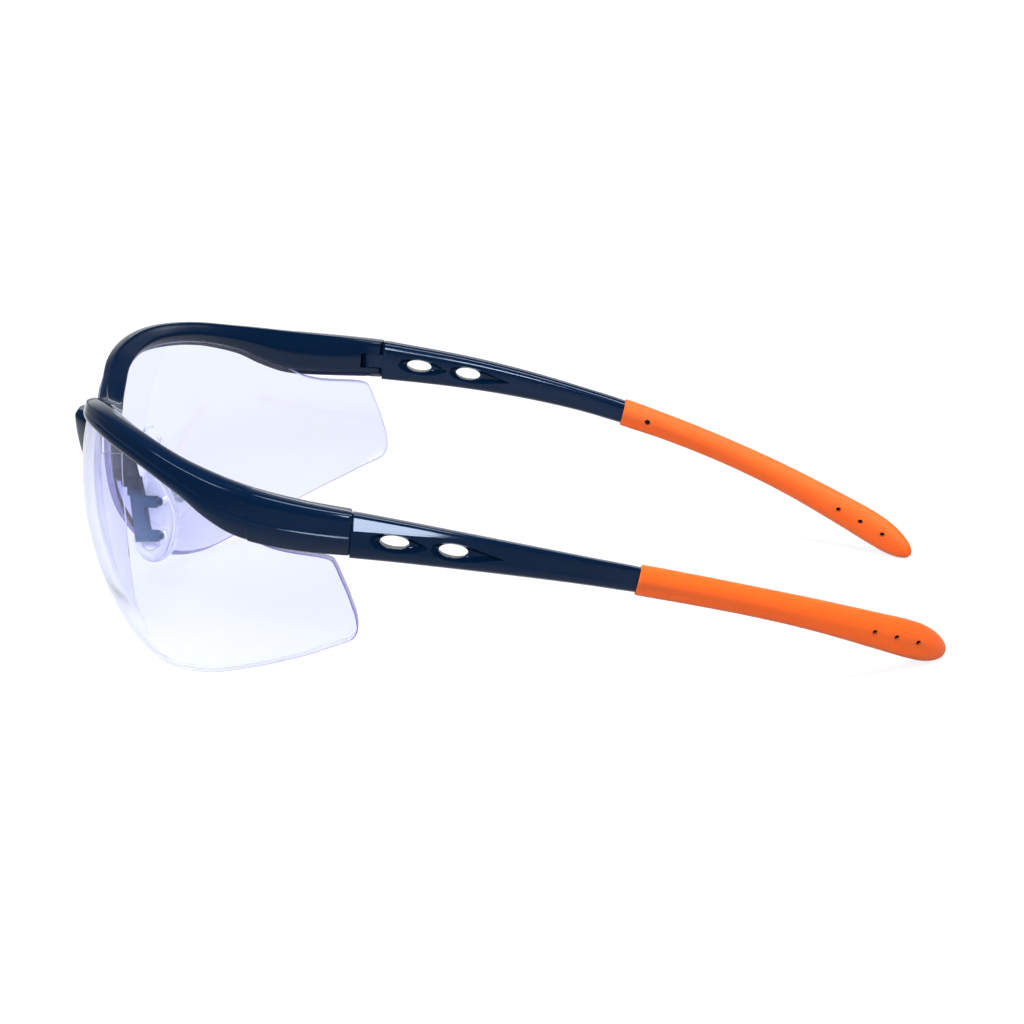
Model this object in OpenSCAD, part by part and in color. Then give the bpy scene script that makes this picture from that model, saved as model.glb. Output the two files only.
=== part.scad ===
// Safety reading glasses: half-frame front, two wrap lenses with reading segments,
// adjustable nose pads and two folding temples with soft tips.
// X runs to the wearer's left, Y to the back of the head, Z up from the table.

/* [Lenses] */
// Outer radius of each spherical lens
lens_r = 60; // [56:0.5:66]
// Lens thickness
lens_t = 2.2; // [1.8:0.1:2.6]
// Sideways distance of a lens centre from the mirror plane
lens_x = 9.6; // [8.5:0.1:11]
// Distance of the lens centres behind the hinge joint
lens_y = 2.5; // [1:0.1:4]
// Height of the lens centres under the hinge
lens_drop = 3.5; // [2.5:0.1:4.5]
// Depth of the clear rim that turns back beside the nose
nasal_rim = 7; // [5:0.5:8]
// Thickness of that rim
rim_t = 1.8; // [1.2:0.1:2.4]
// Width of the D-shaped reading segment
reader_w = 28; // [20:1:32]
// Height of the reading segment
reader_h = 11; // [8:0.5:12]
// How far the reading segment stands in from the lens
reader_t = 0.6; // [0.3:0.1:0.8]

/* [Front frame] */
// Depth of the lens groove in the underside of the brow
groove = 2.0; // [1.2:0.1:2.2]
// Frame material in front of the lens
wall_out = 2.2; // [1.6:0.1:2.6]
// Frame material behind the lens
wall_in = 1.1; // [0.8:0.1:1.6]
// Clearance round each lens in its groove
lens_fit = 0.1; // [0.05:0.01:0.15]
// How far the raised end panels stand out
panel = 0.4; // [0:0.1:0.6]
// Height of the V-shaped shield over the nose
shield_h = 11.6; // [8:0.2:13]
// How far the shield stands in front of the lenses
shield_out = 3.4; // [2:0.1:4]
// Width of the post behind the bridge
post_w = 9.2; // [7:0.2:10]
// Length of the post under the brow
post_h = 12; // [10:0.5:14]

/* [Hinges] */
// Height of the hinge centres above the table
hinge_z = 36; // [34:0.5:40]
// Height of the frame at the hinge
bar_h = 8.8; // [8:0.1:10]
// Thickness of the frame at the hinge
bar_t = 4.8; // [4.4:0.1:5.4]
// Lean of the hinge axis, its top towards the back
lean = 5.4; // [0:0.1:7]
// Radius of the hinge pin
pin_r = 0.8; // [0.6:0.05:0.9]
// Distance of the pin in front of the joint
pin_y = 3.0; // [2.8:0.1:3.4]
// Distance of the pin axis from the inner face
pin_in = 1.8; // [1.7:0.05:2]
// Distance of the pin's ends from the top and bottom of the frame
pin_sink = 1.0; // [0.6:0.1:1.6]
// Height of the tongue on the temple
tongue_h = 3.0; // [2.4:0.1:3.6]
// Radius of the tongue round the pin
tongue_r = 1.7; // [1.6:0.05:1.75]
// Clearance between moving hinge faces
hinge_gap = 0.15; // [0.1:0.01:0.25]
// Radial running clearance of the pin
pin_fit = 0.04; // [0.02:0.01:0.08]

/* [Temples] */
// Length of a temple from the joint to its end, measured straight back
temple_l = 116.5; // [105:0.5:125]
// Drop of the far end of the temple beyond its straight slope
temple_drop = 17.4; // [14:0.1:22]
// Slope of the temple at the hinge in degrees
temple_slope = 8; // [6:0.5:9]
// Radius of the inward bend
bend_r = 152; // [135:1:180]
// Distance behind the joint where the bend starts
bend_y = 12; // [5:1:20]
// Distance behind the joint where the soft tip starts
tip_y = 54; // [48:0.5:60]
// Depth of solid tip behind the temple's core
tip_end = 5; // [3:0.5:8]
// Clearance between the tip and the core
sleeve_fit = 0.04; // [0.02:0.01:0.08]
// Radius of the round windows near the end of a tip
dot_r = 0.55; // [0.4:0.05:0.8]
// Distance of the last of these windows from the end of the temple
dot_end = 6.3; // [5.6:0.1:8]
// Spacing of these windows
dot_step = 4.6; // [3.5:0.1:5.5]
// Radius of the window behind the front edge of a tip
window_r = 0.65; // [0.5:0.05:0.9]
// Length of a vent hole
vent_l = 5.5; // [4:0.1:6]
// Height of a vent hole
vent_h = 2.7; // [2:0.1:3.4]
// Distance of the first vent behind the joint
vent_y = 8.2; // [6.5:0.1:9]
// Spacing of the two vents
vent_step = 11; // [9:0.5:12]
// Depth of the tapered recess round the vents
vent_recess = 0.45; // [0.2:0.05:0.6]

/* [Nose piece] */
// Width of the carrier behind the post
carrier_w = 10.4; // [8:0.2:11]
// Depth of the carrier from front to back
carrier_d = 5; // [4:0.2:6]
// Height of the carrier
carrier_h = 10; // [9:0.2:11]
// Length of a nose pad
pad_l = 24.6; // [20:0.2:26]
// Width of a nose pad
pad_w = 12.2; // [10:0.2:13]
// Thickness of a nose pad
pad_t = 3.0; // [2.4:0.1:3.6]
// Sideways distance of a pad centre from the mirror plane
pad_x = 11.6; // [10.8:0.1:13]
// Distance of the pad centres behind the front of the lenses
pad_back = 14.6; // [14:0.1:16]
// Drop of the pad centres under the hinges
pad_drop = 11.7; // [10.5:0.1:13]
// Flare of the pads towards the face in degrees
pad_flare = 33; // [25:1:38]
// Splay of the pads towards their lower ends in degrees
pad_splay = 11; // [8:1:14]
// Lean of the pads, their tops towards the front, in degrees
pad_lean = 7; // [4:1:10]
// Radius of the studs that hold a pad
stud_r = 0.9; // [0.7:0.05:1.1]
// Thickness of the arms that carry the studs
arm_t = 1.4; // [1:0.1:1.8]

/* [Hidden] */
$fn = 48;
ball_fn = 160;
// Length of a cutting tool that only has to pass right through
through = 40;
beyond = 200;

navy = [0.05, 0.14, 0.27];
orange = [0.99, 0.44, 0.19];
clear = [0.88, 0.90, 1.0, 0.35];
silicone = [0.85, 0.87, 0.95, 0.7];
steel = [0.7, 0.7, 0.72];

lens_z = hinge_z - lens_drop;
lens_front = lens_y - lens_r;
bar_x = lens_x + lens_r;
out_end = bar_t / 2 - 0.1;
in_end = bar_t - out_end;
front_y = lens_front - shield_out;
mid_y = (front_y + temple_l) / 2;

// Azimuth of the mirror plane and of the hinge joint, seen from a lens centre
mid_a = -asin(lens_x / lens_r);
end_a = 90;

// Smooth value through a few [position, value] knots
function knot(t, i) = t[max(0, min(len(t) - 1, i))];
function span(t, x, i = 0) = i >= len(t) - 2 || x < t[i + 1][0] ? i : span(t, x, i + 1);
function tangent(t, i) = (knot(t, i + 1)[1] - knot(t, i - 1)[1]) / (knot(t, i + 1)[0] - knot(t, i - 1)[0]);
function smooth(t, x) =
    let (i = span(t, x), d = t[i + 1][0] - t[i][0], u = min(1, max(0, (x - t[i][0]) / d)))
    (2 * u ^ 3 - 3 * u ^ 2 + 1) * t[i][1] + (u ^ 3 - 2 * u ^ 2 + u) * d * tangent(t, i)
    + (3 * u ^ 2 - 2 * u ^ 3) * t[i + 1][1] + (u ^ 3 - u ^ 2) * d * tangent(t, i + 1);

// Smooth open curve through a few points
function curve(p, n = 6) = [
    for (i = [0 : len(p) - 2], k = [0 : n - 1])
        let (u = k / n, a = p[max(0, i - 1)], b = p[i], c = p[i + 1], d = p[min(len(p) - 1, i + 2)])
        0.5 * (2 * b + (c - a) * u + (2 * a - 5 * b + 4 * c - d) * u ^ 2 + (3 * b - a - 3 * c + d) * u ^ 3),
    p[len(p) - 1]
];
function arc(c, r, a0, a1, n) = [for (i = [0 : n]) let (a = a0 + (a1 - a0) * i / n) c + r * [cos(a), sin(a)]];

// Solid through rings of points that all have the same count
module loft(rings) {
    n = len(rings[0]);
    m = len(rings);
    sides = [
        for (j = [0 : m - 2], i = [0 : n - 1])
            let (a = j * n + i, b = j * n + (i + 1) % n)
            each [[a, b, b + n], [a, b + n, a + n]]
    ];
    ends = [[for (i = [n - 1 : -1 : 0]) i], [for (i = [0 : n - 1]) (m - 1) * n + i]];
    polyhedron([for (r = rings) each r], concat(sides, ends), convexity = 8);
}

module on_side(side) {
    if (side > 0) children();
    else mirror([1, 0, 0]) children();
}
module place() translate([0, -mid_y, 0]) children();

// Brow: heights over the hinge centre, and offsets from the lens surface, by azimuth
top_knots = [
    [mid_a, 8.2], [0, 10.9], [12, 14], [25, 15.3], [40, 13.8], [55, 10.5], [70, 7.3], [90, bar_h / 2 - 0.3]
];
low_knots = [
    [mid_a, 3.4], [0, 7.4], [12, 10.2], [25, 10.7], [36, 9.6], [44, 8], [50, 6.1], [55, 4.1], [60, 1.2],
    [66, -1.5], [74, -3], [90, 0.2 - bar_h / 2]
];
out_knots = [[mid_a, -0.3], [0, -0.2], [8, 0.9], [20, wall_out - 0.3], [45, wall_out], [90, out_end]];
in_knots = [
    [mid_a, 5.4], [0, 5.2], [8, 4.3], [25, lens_t + wall_in], [75, lens_t + wall_in], [86, in_end], [90, in_end]
];
ridge_knots = [[mid_a, 2.2], [0, 1.6], [12, 0.8], [45, 0.8], [60, 1.3], [75, 1.8], [90, in_end - 0.3]];
crease_knots = [[mid_a, 0], [60, 0], [72, 0.5], [90, 0.9]];
panel_a = 66.5;

function brow_top(a) = hinge_z + smooth(top_knots, a);
function brow_low(a) = hinge_z + smooth(low_knots, a);
function sphere_r(z) = sqrt(lens_r ^ 2 - (z - lens_z) ^ 2);

// Profile of the brow as [distance from the lens surface, share of the height]
function brow_profile(a) =
    let (o = smooth(out_knots, a) + (a > panel_a ? panel : 0), c = smooth(crease_knots, a))
    let (i = smooth(in_knots, a), r = smooth(ridge_knots, a))
    [
        [0.3 - 0.3 * i, 0], [o - 0.9 - c, 0], [o - 0.3 - c, 0.07], [o - 0.4 * c, 0.25], [o, 0.45],
        [o - 0.05, 0.68], [o - 0.45, 0.85], [o - 1.2, 0.95], [(o - 1 - r) / 2, 1], [0.4 - r, 0.98],
        [-r, 0.91], [-(i + r) / 2, 0.76], [-i, 0.55], [-i, 0.3], [0.5 - i, 0.16]
    ];
function brow_ring(a) = [
    for (p = brow_profile(a))
        let (z = brow_low(a) + (brow_top(a) - brow_low(a)) * p[1], r = sphere_r(z) + p[0])
        [lens_x + r * sin(a), lens_y - r * cos(a), z]
];
// The middle ring lies in the mirror plane
function middle_ring() = [for (p = brow_ring(mid_a)) [0, p[1], p[2]]];
function mirrored(ring) = [for (p = ring) [-p[0], p[1], p[2]]];
brow_steps = [
    for (a = [end_a : -3 : panel_a + 1.2]) a, panel_a + 0.4, panel_a - 0.4,
    for (a = [63 : -3 : 6]) a, for (a = [3.5 : -3 : mid_a + 2]) a
];

module brow() {
    left = [for (i = [len(brow_steps) - 1 : -1 : 0]) brow_ring(brow_steps[i])];
    right = [for (a = brow_steps) mirrored(brow_ring(a))];
    loft(concat(right, [middle_ring()], left));
}

// Shield: rows of [share of the height, half width, how far its front and its back stand before the lens].
// The front of the fourth row is the foremost point of the glasses.
shield_top = hinge_z + 6.5;
shield_rows = [
    [0, 0.9, 0.35, -0.1], [0.13, 1.9, 0.54, -0.3], [0.5, 4, 0.87, -0.4],
    [0.82, 5.4, 1, -1], [0.92, 5.4, 0.95, -2], [1, 4.4, 0.7, -2.2]
];
// Plan of the shield, in shares of its half width and of its depth
shield_view = [
    [-1, 0.8], [-0.92, 0.6], [-0.35, 0.07], [0, 0], [0.35, 0.07], [0.92, 0.6], [1, 0.8], [0.6, 1], [-0.6, 1]
];
module shield() loft([
    for (row = shield_rows)
        let (w = row[1], f = lens_front - shield_out * row[2], b = lens_front - row[3])
        [for (p = shield_view) [-w * p[0], f + (b - f) * p[1], shield_top - shield_h * (1 - row[0])]]
]);

// Post: hangs from the bridge between the lenses, rounded at its lower end
post_front = lens_front + 4.3;
post_back = post_front + 2;
post_low = brow_low(mid_a) - post_h;
module post() {
    hull() {
        translate([-post_w / 2, post_front, brow_low(mid_a)]) cube([post_w, post_back - post_front, 2]);
        translate([-post_w / 2 + 1, post_front + 1, post_low + 1]) cube([post_w - 2, post_back - post_front - 1, 4]);
        translate([-post_w / 2 + 2, post_back - 0.5, post_low]) cube([post_w - 4, 0.5, 1]);
    }
}

// Outline of a lens on its outer surface, seen along its own axis
lens_axis = 43;
outline_r = 60;
nasal_points = [
    [-43.4, 2], [-42.7, -4], [-40.1, -12.5], [-35, -19.5], [-28.4, -25.9], [-20.7, -30.1], [-13.5, -32.05]
];
low_points = [[-13.5, -32.05], [-5, -32.44], [8, -30.5], [20, -26.9], [31, -22.8], [37.6, -19.7]];
temple_corner = [[37.6, -19.7], [39.9, -18.4], [41.2, -16.2], [41.6, -13]];
temple_edge = [[41.6, -13], [41.2, -8.5], [40.3, -4.2], [39.4, -1]];
function lens_scale(p) = p * lens_r / outline_r;
function seat(a) = smooth([[mid_a, groove], [60, groove], [76, 1], [90, 0.7]], a);
function lens_top(grow) = [
    for (a = [lens_axis + 39.5 : -4 : -2])
        let (z = brow_low(a) - lens_z)
        [lens_r * sin(a - lens_axis) * cos(asin(z / lens_r)), z + seat(a) + grow]
];
function lens_outline(grow = 0) = concat(
    lens_top(grow),
    [for (p = curve(nasal_points)) lens_scale(p) - [grow, 0]],
    [for (p = curve(low_points)) lens_scale(p) - [0, grow]],
    [for (p = curve(temple_corner, 3)) lens_scale(p) + [grow, -grow]],
    [for (p = curve(temple_edge, 3)) lens_scale(p) + [grow, 0]]
);

// Frame with its origin at a lens centre and Z along the lens axis
module at_lens() translate([lens_x, lens_y, lens_z]) rotate([0, 0, lens_axis]) rotate([90, 0, 0]) children();
module ball(r) translate([lens_x, lens_y, lens_z]) sphere(r, $fn = ball_fn);

// Pyramid from the lens centre through the outline, so that the lens edge is square to its surface
module lens_blank(grow) {
    flat = 1.3 * lens_r;
    base = [
        for (p = lens_outline(grow))
            let (deep = sqrt(lens_r ^ 2 - p[0] ^ 2 - p[1] ^ 2))
            [p[0] * flat / deep, p[1] * flat / deep, flat]
    ];
    n = len(base);
    at_lens() polyhedron(
        concat(base, [[0, 0, 0]]),
        concat([[for (i = [n - 1 : -1 : 0]) i]], [for (i = [0 : n - 1]) [n, i, (i + 1) % n]]),
        convexity = 4
    );
}
module lens_shell(grow) {
    difference() {
        ball(lens_r + grow);
        ball(lens_r - lens_t - grow);
    }
}

// The nasal edge of the lens seen from the front, and the rim that turns back from it
rim_top = brow_low(-4) - 0.5;
rim_back_r = 100;
function from_front(p) =
    let (q = lens_scale(p), d = sqrt(lens_r ^ 2 - q[0] ^ 2 - q[1] ^ 2))
    [lens_x + q[0] * cos(lens_axis) + d * sin(lens_axis), lens_z + q[1]];
function rim_normal(p, i) = let (d = p[min(i + 1, len(p) - 1)] - p[max(i - 1, 0)]) [-d[1], d[0]] / norm(d);
module nasal_wall() {
    edge = [for (p = curve([for (i = [0 : 5]) nasal_points[i]], 4)) from_front(p)];
    inner = [for (i = [len(edge) - 1 : -1 : 0]) edge[i] + rim_t * rim_normal(edge, i)];
    top = [[edge[0][0] + rim_t, rim_top], [edge[0][0], rim_top]];
    difference() {
        intersection() {
            rotate([90, 0, 0]) linear_extrude(beyond) polygon(concat(top, edge, inner));
            ball(lens_r - lens_t / 2);
        }
        translate([0, lens_front + nasal_rim + rim_back_r, lens_z])
            rotate([0, 90, 0]) cylinder(h = beyond, r = rim_back_r, center = true, $fn = ball_fn);
    }
}

// D-shaped reading segment on the back of the lens: a straight top edge over a shallow bow
reader_top = -18;
reader_side = 22.5;
reader_corner = 4;
module reader() {
    half = reader_w / 2;
    c = [half - reader_corner, reader_top - reader_corner];
    right = concat([[half, reader_top]], arc(c, reader_corner, 0, -55, 4));
    left = [for (i = [len(right) - 1 : -1 : 0]) [-right[i][0], right[i][1]]];
    low = curve([right[5], [0, reader_top - reader_h], left[0]], 7);
    shape = concat(low, [for (i = [1 : 5]) left[i]], [for (i = [0 : 4]) right[i]]);
    intersection() {
        lens_blank(0);
        rotate([90, 0, 0]) linear_extrude(beyond)
            translate([lens_x + reader_side, lens_z]) polygon(shape);
        difference() {
            ball(lens_r - lens_t / 2);
            ball(lens_r - lens_t - reader_t);
        }
    }
}

module lens(side) {
    color(clear) place() on_side(side) {
        intersection() {
            lens_shell(0);
            lens_blank(0);
        }
        nasal_wall();
        reader();
    }
}

// Hinge: its own frame has the pin on Z and the joint plane at pin_y behind it
pin_x = bar_x - in_end + pin_in;
module at_hinge() translate([pin_x, 0, hinge_z]) rotate([-lean, 0, 0]) translate([0, -pin_y, 0]) children();
module pin_bore() at_hinge() cylinder(h = through, r = pin_r + pin_fit, center = true);

// What the front loses at a hinge: all behind the joint, and the slot for the tongue
module hinge_cut() {
    notch_r = tongue_r + hinge_gap;
    notch_h = tongue_h + 2 * hinge_gap;
    at_hinge() {
        translate([-beyond / 2, pin_y - hinge_gap / 2, -beyond / 2]) cube(beyond);
        difference() {
            translate([-pin_in - 2, 0, -through / 2]) cube([pin_in + 2, through, through]);
            cylinder(h = 1.1 * through, r = pin_y - hinge_gap, center = true);
        }
        translate([0, 0, -notch_h / 2]) {
            cylinder(h = notch_h, r = notch_r);
            translate([-through / 2, -notch_r, 0]) cube([through / 2, through, notch_h]);
            translate([-through / 2, 0, 0]) cube([through / 2 + notch_r, through, notch_h]);
        }
    }
    pin_bore();
}

module front_frame() {
    color(navy) place() difference() {
        union() {
            brow();
            shield();
            post();
        }
        for (side = [-1, 1]) on_side(side) {
            hinge_cut();
            intersection() {
                lens_shell(lens_fit);
                lens_blank(lens_fit);
            }
        }
    }
}

// Temple: centre line, height, thickness and upper facet along its length
height_knots = [[-4, bar_h], [0, bar_h], [8, 8.2], [19, 7.4], [28, 6.7], [39, 5.9], [50, 5.2], [tip_y, 4.9]];
thick_knots = [[-4, bar_t], [0, bar_t], [10, 4.2], [22, 3.6], [40, 3.2], [tip_y, 3.1]];
facet_knots = [[-4, 1.3], [0, 1.3], [12, 1.0], [26, 0.3], [tip_y, 0.2]];
function temple_x(y) = bar_x - (in_end - out_end) / 2 - (y < bend_y ? 0 : (y - bend_y) ^ 2 / (2 * bend_r));
function temple_z(y) = hinge_z - 0.1 - tan(temple_slope) * y - (y < 0 ? 0 : temple_drop * (y / temple_l) ^ 2.3);
function temple_profile(y) =
    let (t = smooth(thick_knots, y) / 2, f = smooth(facet_knots, y))
    [
        [0, -1], [t - 1.1, -0.97], [t - 0.35, -0.8], [t, -0.5], [t, 0.05],
        [t - 0.1, 0.24], [t - 0.1 - f * 0.7, 0.8], [t - 0.6 - f, 0.97], [-0.2 * f, 1], [-t + 1.0, 0.96],
        [-t + 0.3, 0.78], [-t, 0.45], [-t, -0.45], [-t + 0.3, -0.78], [-t + 1.0, -0.95]
    ];
function temple_ring(y) = [
    for (p = temple_profile(y))
        [temple_x(y) + p[0], y, temple_z(y) + p[1] * smooth(height_knots, y) / 2]
];
temple_steps = concat([-3, 0, 3, 6], [for (k = [0 : 8]) 10 + (tip_y - 10) * k / 8]);
module temple_blank() loft([for (y = temple_steps) temple_ring(y)]);

// Oval ring across the temple, t wide and h high each way
function oval(y, t, h, n = 12, drop = 0) = [
    for (i = [0 : n - 1])
        let (a = 360 * i / n)
        [temple_x(y) + t * sin(a), y, temple_z(y) - drop - h * cos(a)]
];
core_end = temple_l - tip_end;
module core(grow, from) {
    steps = 11;
    loft([
        for (k = [0 : steps])
            let (y = from + (core_end + grow - from) * k / steps)
            oval(y, 1.15 + grow, 1.75 + 0.2 * k / steps + grow)
    ]);
}

// Vents: two oval holes in a recess that tapers to a point behind them
vent_drop = 0.1;
module along_x(y) translate([0, y, temple_z(y)]) rotate([90, 0, 90]) children();
module vents() {
    for (k = [0, 1])
        along_x(vent_y + k * vent_step) translate([0, -vent_drop]) rotate(-temple_slope - k)
            linear_extrude(beyond) scale([vent_l / 2, vent_h / 2]) polygon(arc([0, 0], 1, 0, 347, 27));
}
module recess() {
    y0 = vent_y - vent_l / 2 - 1.2;
    y1 = vent_y + vent_step + vent_l / 2 + 7;
    knots = [[y0, 0], [y0 + 1.6, 1.75], [vent_y + 3, 2.05], [vent_y + vent_step, 1.9], [y1 - 4, 0.7], [y1, 0]];
    top = curve(knots, 4);
    shape = concat(top, [for (i = [len(top) - 2 : -1 : 1]) [top[i][0], -top[i][1]]]);
    bent = [for (p = shape) [p[0], temple_z(p[0]) - vent_drop + p[1]]];
    skin = smooth(thick_knots, (y0 + y1) / 2) / 2 - vent_recess;
    for (face = [0, 1])
        translate([temple_x(0), 0, 0]) mirror([face, 0, 0]) translate([skin, 0, 0]) rotate([90, 0, 90])
            linear_extrude(bar_t) polygon(bent);
}

module tongue() {
    at_hinge() translate([0, 0, -tongue_h / 2]) {
        cylinder(h = tongue_h, r = tongue_r);
        translate([-tongue_r, 0, 0]) cube([2 * tongue_r, pin_y + 1, tongue_h]);
    }
}

module temple(side) {
    color(navy) place() on_side(side) difference() {
        union() {
            difference() {
                temple_blank();
                at_hinge() translate([-beyond / 2, pin_y + hinge_gap / 2 - beyond, -beyond / 2]) cube(beyond);
                vents();
                recess();
            }
            tongue();
            core(0, tip_y - 0.5);
        }
        pin_bore();
    }
}

// Soft tip: a sleeve over the core, with small round windows through which the core shows
dots = [for (k = [2 : -1 : 0]) temple_l - dot_end - k * dot_step];
window_y = 5.5;
tip_heights = [[0, 2.95], [0.13, 3.05], [0.37, 3.05], [0.58, 3.3], [0.77, 3.75], [0.88, 3.95], [1, 3.3]];
tip_widths = [[0, 2.2], [0.13, 2.25], [0.42, 2.4], [0.74, 2.8], [1, 2.6]];
tip_drops = [[0, 0], [0.5, 0], [0.8, 0.35], [1, 0.35]];
nose_share = 0.11;
function round_end(u) = u < 1 - nose_share ? 1 : sqrt(max(0, 1 - ((u - 1 + nose_share) / nose_share) ^ 2.6));
function tip_ring(u) =
    let (y = tip_y + 0.02 + (temple_l - tip_y - 0.02) * u, e = round_end(u))
    oval(y, smooth(tip_widths, u) * e, smooth(tip_heights, u) * e, 16, smooth(tip_drops, u));
tip_steps = concat(
    [for (k = [0 : 10]) (1 - nose_share) * k / 10], [for (k = [1 : 5]) 1 - nose_share * (1 - k / 5) ^ 2]
);

module temple_tip(side) {
    color(orange) place() on_side(side) difference() {
        loft([for (u = tip_steps) tip_ring(min(u, 0.9999))]);
        core(sleeve_fit, tip_y - 1);
        for (y = dots)
            along_x(y) translate([0, 0, temple_x(y)]) cylinder(h = through / 4, r = dot_r, center = true);
        along_x(tip_y + window_y) translate([0, 0, temple_x(tip_y + window_y) - through / 4])
            cylinder(h = through / 4, r = window_r);
    }
}

module hinge_pin(side) {
    color(steel) place() on_side(side) at_hinge() cylinder(h = bar_h - 2 * pin_sink, r = pin_r, center = true);
}

// Nose: a carrier behind the post, its two arms, and the soft pads on them.
// A link runs forward of each pad from the carrier to the top of its arm.
carrier_front = post_back + 0.05;
carrier_hang = 0.5;
carrier_low = post_low - carrier_hang;
arm_gap = 0.3;
arm_view = [[-5.3, 6.5], [-2.5, 6.5], [-1.2, 1.9], [-0.2, -3.2], [0.6, -5.8], [-0.3, -6.7], [-3.1, -7]];
link_w = 1.6;
link_h = 4;
link_from = [0.2, 1.6, 1.8];
studs = [[1.9, 1.4], [2.2, -5.5]];
stud_fit = 0.05;
stud_in = 0.2;
tab_h = 2.4;
tab_root = 1;
module at_pad() {
    translate([pad_x, lens_front + pad_back, hinge_z - pad_drop])
        rotate([0, 0, -pad_flare]) rotate([0, -pad_splay, 0]) rotate([pad_lean, 0, 0]) children();
}
module arm() {
    back = pad_t / 2 + arm_gap;
    hull() {
        translate([carrier_w / 2 - link_w, carrier_front, carrier_low] + [-link_from[0], link_from[1], link_from[2]])
            cube([link_w, link_w, link_h]);
        at_pad() translate([back, arm_view[0][0], arm_view[0][1] - link_h]) cube([arm_t, link_w, link_h]);
    }
    at_pad() {
        translate([back, 0, 0]) rotate([90, 0, 90]) linear_extrude(arm_t) polygon(arm_view);
        for (p = studs) {
            translate([back, arm_view[2][0] - tab_root, p[1] - tab_h / 2])
                cube([arm_t, p[0] - arm_view[2][0] + tab_root, tab_h]);
            translate([-stud_in, p[0], p[1]]) rotate([0, 90, 0]) cylinder(h = back + arm_t + stud_in, r = stud_r);
        }
    }
}

// Side view of the carrier, in shares of its depth and height
carrier_view = [
    [0, 0.04], [0.08, 0], [0.32, 0], [0.42, 0.02], [0.74, 0.17],
    [0.96, 0.39], [1, 0.55], [1, 0.7], [0.84, 0.84], [0, 1]
];
module pad_carrier() {
    side_view = [for (p = carrier_view) [carrier_front + carrier_d * p[0], carrier_low + carrier_h * p[1]]];
    color(navy) place() {
        translate([-carrier_w / 2, 0, 0]) rotate([90, 0, 90]) linear_extrude(carrier_w) polygon(side_view);
        for (side = [-1, 1]) on_side(side) arm();
    }
}

// Pad: a drop-shaped cushion, thinner towards its edge, drawn at its reference size
// as it is seen square to its back
pad_view_l = 24.6;
pad_view_w = 12.2;
pad_view = [
    [-3.8, 13.5], [-2.3, 11.2], [1.6, 6], [5, 0.9], [5.9, -3.2], [4.7, -7.9], [2.4, -10.2], [-0.2, -11.1],
    [-2.9, -10.9], [-5, -9.2], [-5.7, -7], [-5, -2], [-3.8, 2.5], [-3.7, 6.5], [-4.9, 11]
];
pad_rows = [[-1, 0.72], [-0.8, 0.88], [-0.35, 0.98], [0.2, 1], [0.7, 0.94], [1, 0.84]];
module nose_pad(side) {
    closed = concat(pad_view, [pad_view[0]]);
    rim = curve(closed, 2);
    color(silicone) place() on_side(side) at_pad() difference() {
        loft([
            for (row = pad_rows)
                [
                    for (i = [0 : len(rim) - 2])
                        let (p = rim[i] * row[1])
                        [row[0] * pad_t / 2, p[0] * pad_w / pad_view_w, p[1] * pad_l / pad_view_l]
                ]
        ]);
        for (p = studs)
            translate([-stud_in - stud_fit, p[0], p[1]]) rotate([0, 90, 0])
                cylinder(h = pad_t, r = stud_r + stud_fit);
    }
}

front_frame();
lens(1);  // lens_left
lens(-1);  // lens_right
pad_carrier();
nose_pad(1);  // nose_pad_left
nose_pad(-1);  // nose_pad_right
temple(1);  // temple_left
temple(-1);  // temple_right
temple_tip(1);  // temple_tip_left
temple_tip(-1);  // temple_tip_right
hinge_pin(1);  // hinge_pin_left
hinge_pin(-1);  // hinge_pin_right
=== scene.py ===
"""Safety reading glasses: the smooth shapes and the finishes of all their pieces."""

import math
from types import SimpleNamespace

import bmesh
import bpy
from bpy.props import FloatProperty, FloatVectorProperty, IntProperty, PointerProperty
from mathutils import Matrix, Vector


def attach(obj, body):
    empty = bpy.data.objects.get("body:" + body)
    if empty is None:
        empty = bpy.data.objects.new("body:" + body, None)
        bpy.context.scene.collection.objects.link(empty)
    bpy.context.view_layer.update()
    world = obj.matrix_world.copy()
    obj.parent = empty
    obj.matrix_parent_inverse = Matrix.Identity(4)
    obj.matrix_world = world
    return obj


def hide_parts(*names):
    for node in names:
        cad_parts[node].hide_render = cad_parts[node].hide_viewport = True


bl_info = {
    "name": "Safety reading glasses",
    "version": (1, 0, 0),
    "blender": (4, 5, 0),
    "location": "View3D > Sidebar > Glasses",
    "description": "Builds the smooth shapes and finishes of a pair of safety reading glasses",
    "category": "Object",
}

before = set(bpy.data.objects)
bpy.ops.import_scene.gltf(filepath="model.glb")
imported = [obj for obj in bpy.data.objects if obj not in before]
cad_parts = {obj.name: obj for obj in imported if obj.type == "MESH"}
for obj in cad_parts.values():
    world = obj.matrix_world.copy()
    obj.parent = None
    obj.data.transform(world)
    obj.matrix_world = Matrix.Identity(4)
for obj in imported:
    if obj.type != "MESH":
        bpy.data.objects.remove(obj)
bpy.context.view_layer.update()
MM = 0.001


def length(name, description, value):
    return FloatProperty(name=name, description=description, default=value, unit="LENGTH")


def colour(name, description, value):
    return FloatVectorProperty(
        name=name, description=description, default=value, size=3, min=0, max=1, subtype="COLOR"
    )


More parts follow.
